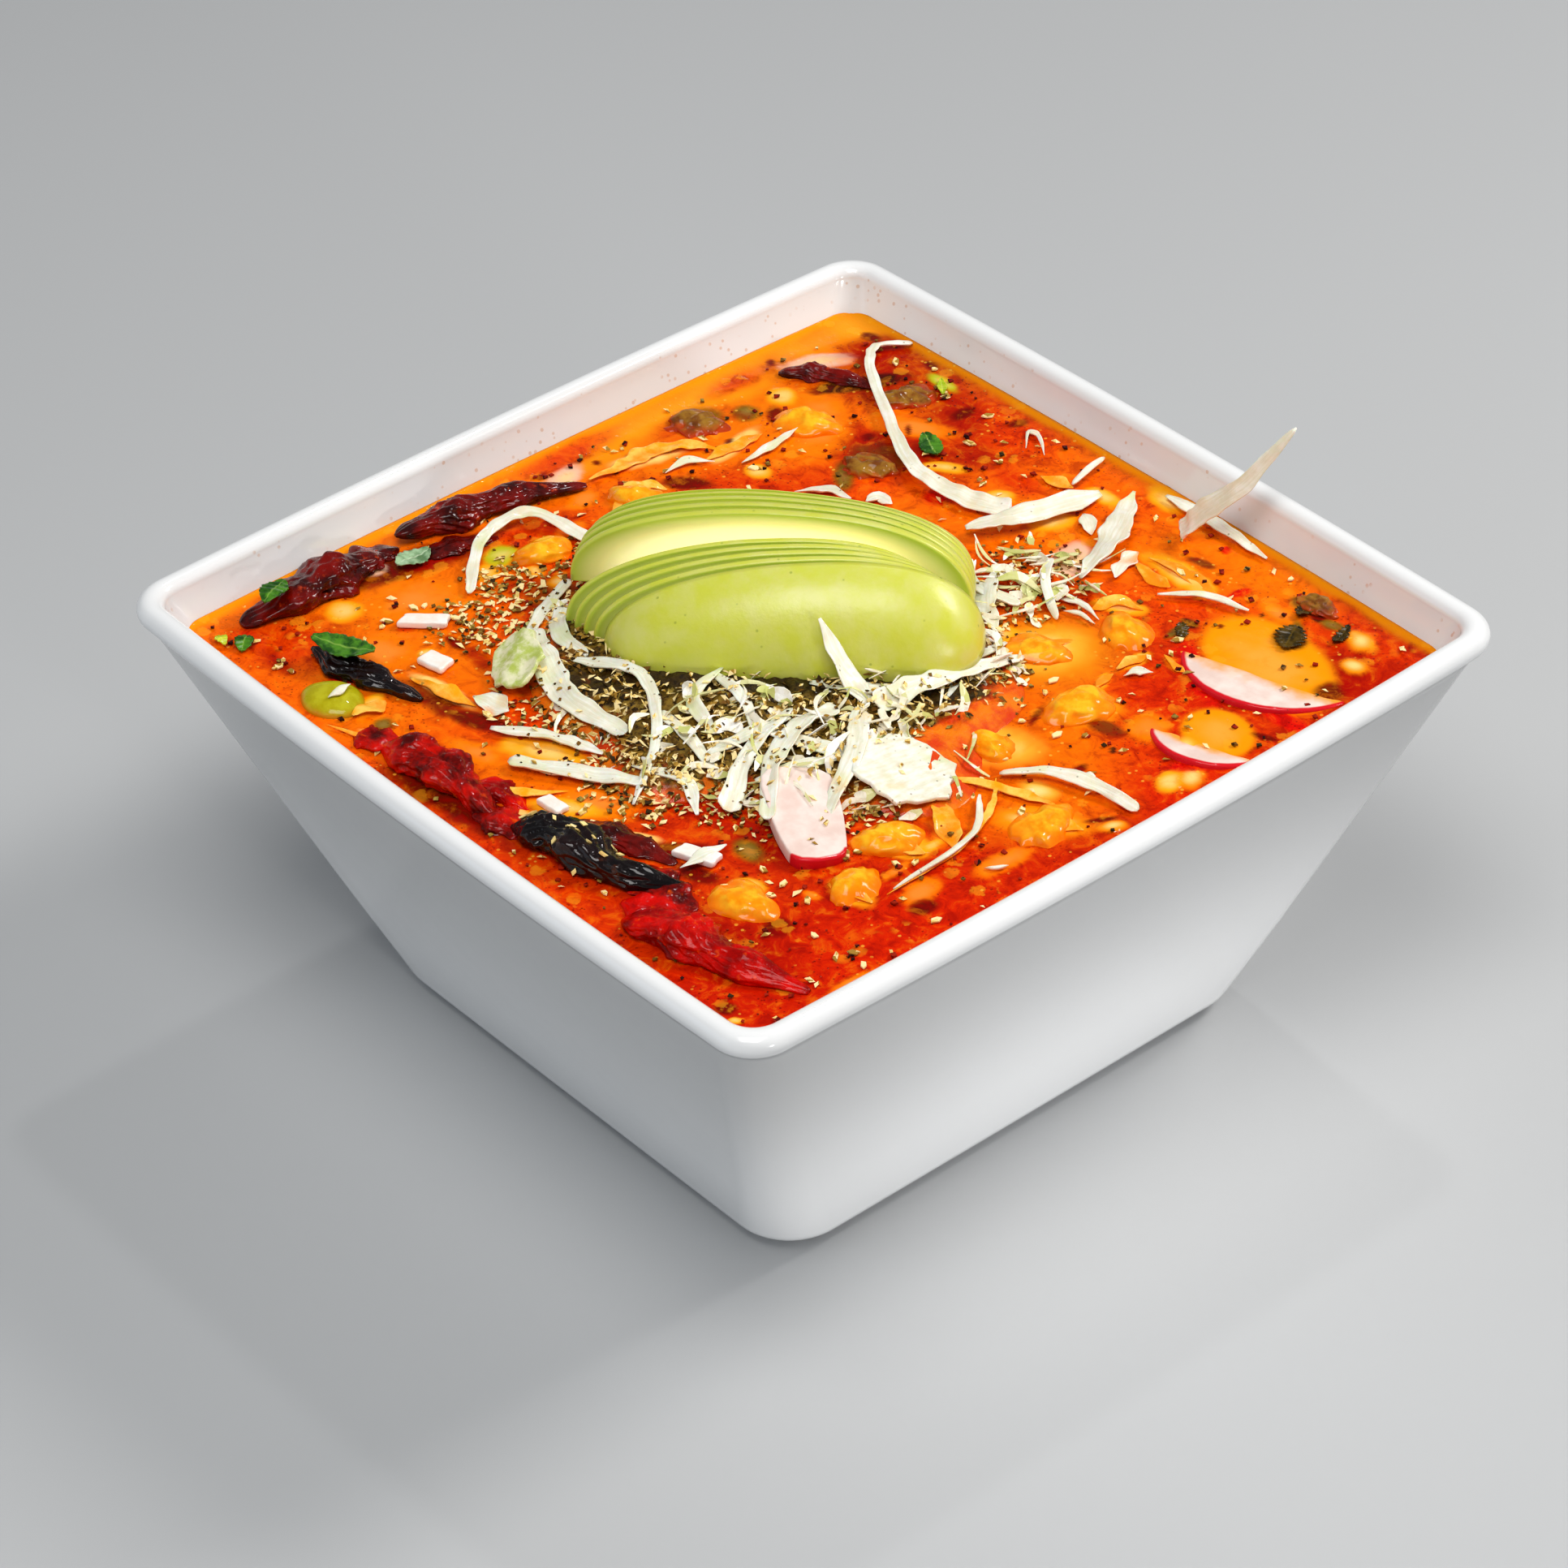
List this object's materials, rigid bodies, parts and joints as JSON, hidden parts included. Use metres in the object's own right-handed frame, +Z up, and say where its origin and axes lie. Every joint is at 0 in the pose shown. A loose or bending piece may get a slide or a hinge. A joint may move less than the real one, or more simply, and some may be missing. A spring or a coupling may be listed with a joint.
{
  "type": "bowl of red hominy soup",
  "caption": "Square white bowl of red hominy soup, topped with a fan of sliced avocado on shredded cabbage and dried oregano, with dried chillies and radish slices",
  "frame": {"origin": "the middle of the bowl's underside, on the surface that it stands on", "axes": "+Z up, +X and +Y along the bowl's sides; the corner towards +X and -Y is the one nearest the viewer in the picture"},
  "size_m": [0.2026, 0.2026, 0.1164],
  "materials": {
    "white_glaze": "glossy white glaze, slightly warm",
    "red_broth": "wet, oily red-orange broth",
    "avocado_flesh": "moist pale green flesh, smooth",
    "cabbage": "pale cream shreds, slightly moist",
    "dark_chilli": "wrinkled, wet, glossy dark red-brown skin",
    "black_chilli": "wrinkled, wet, glossy near-black skin",
    "bright_chilli": "soaked, glossy bright red skin",
    "hominy": "swollen kernels, wet with broth",
    "stewed_meat": "stewed, olive-brown lumps",
    "green_bean": "smooth yellow-green skin",
    "radish": "white flesh with a thin red skin at its edge",
    "onion": "white, half clear",
    "herb_leaf": "green leaf, slightly moist"
  },
  "bodies": {
    "root": {"bowl": "white_glaze", "avocado_front_1": "avocado_flesh", "avocado_front_2": "avocado_flesh", "avocado_front_3": "avocado_flesh", "avocado_front_4": "avocado_flesh", "avocado_front_5": "avocado_flesh", "avocado_back_1": "avocado_flesh", "avocado_back_2": "avocado_flesh", "avocado_back_3": "avocado_flesh", "avocado_back_4": "avocado_flesh", "avocado_back_5": "avocado_flesh", "chilli_left_long": "dark_chilli", "chilli_left_wide": "dark_chilli", "chilli_black_small": "black_chilli", "chilli_red_folded": "dark_chilli", "chilli_black_long": "black_chilli", "chilli_bright_red": "bright_chilli", "chilli_back_strip": "dark_chilli", "hominy_1": "hominy", "hominy_2": "hominy", "hominy_3": "hominy", "hominy_4": "hominy", "hominy_5": "hominy", "hominy_6": "hominy", "hominy_7": "hominy", "hominy_8": "hominy", "hominy_9": "hominy", "hominy_10": "hominy", "hominy_11": "hominy", "meat_1": "stewed_meat", "meat_2": "stewed_meat", "meat_3": "stewed_meat", "meat_4": "stewed_meat", "bean": "green_bean", "radish_large": "radish", "radish_small": "radish", "radish_front": "radish", "broth": "red_broth", "strand_leaning": "cabbage", "cabbage_heap": "cabbage", "strand_back_curl": "cabbage", "strand_right_thick": "cabbage", "strand_right_thin": "cabbage", "strand_right_leaf": "cabbage", "strand_over_rim": "cabbage", "strand_right_base": "cabbage", "strand_straight": "cabbage", "strand_wavy": "cabbage", "strand_front_right": "cabbage", "strand_front_thin": "cabbage", "strand_left_arch": "cabbage", "onion_1": "onion", "onion_2": "onion", "onion_3": "onion", "onion_4": "onion", "leaf_1": "herb_leaf", "leaf_2": "herb_leaf", "leaf_3": "herb_leaf", "leaf_4": "herb_leaf", "leaf_5": "herb_leaf"}
  },
  "joints": []
}
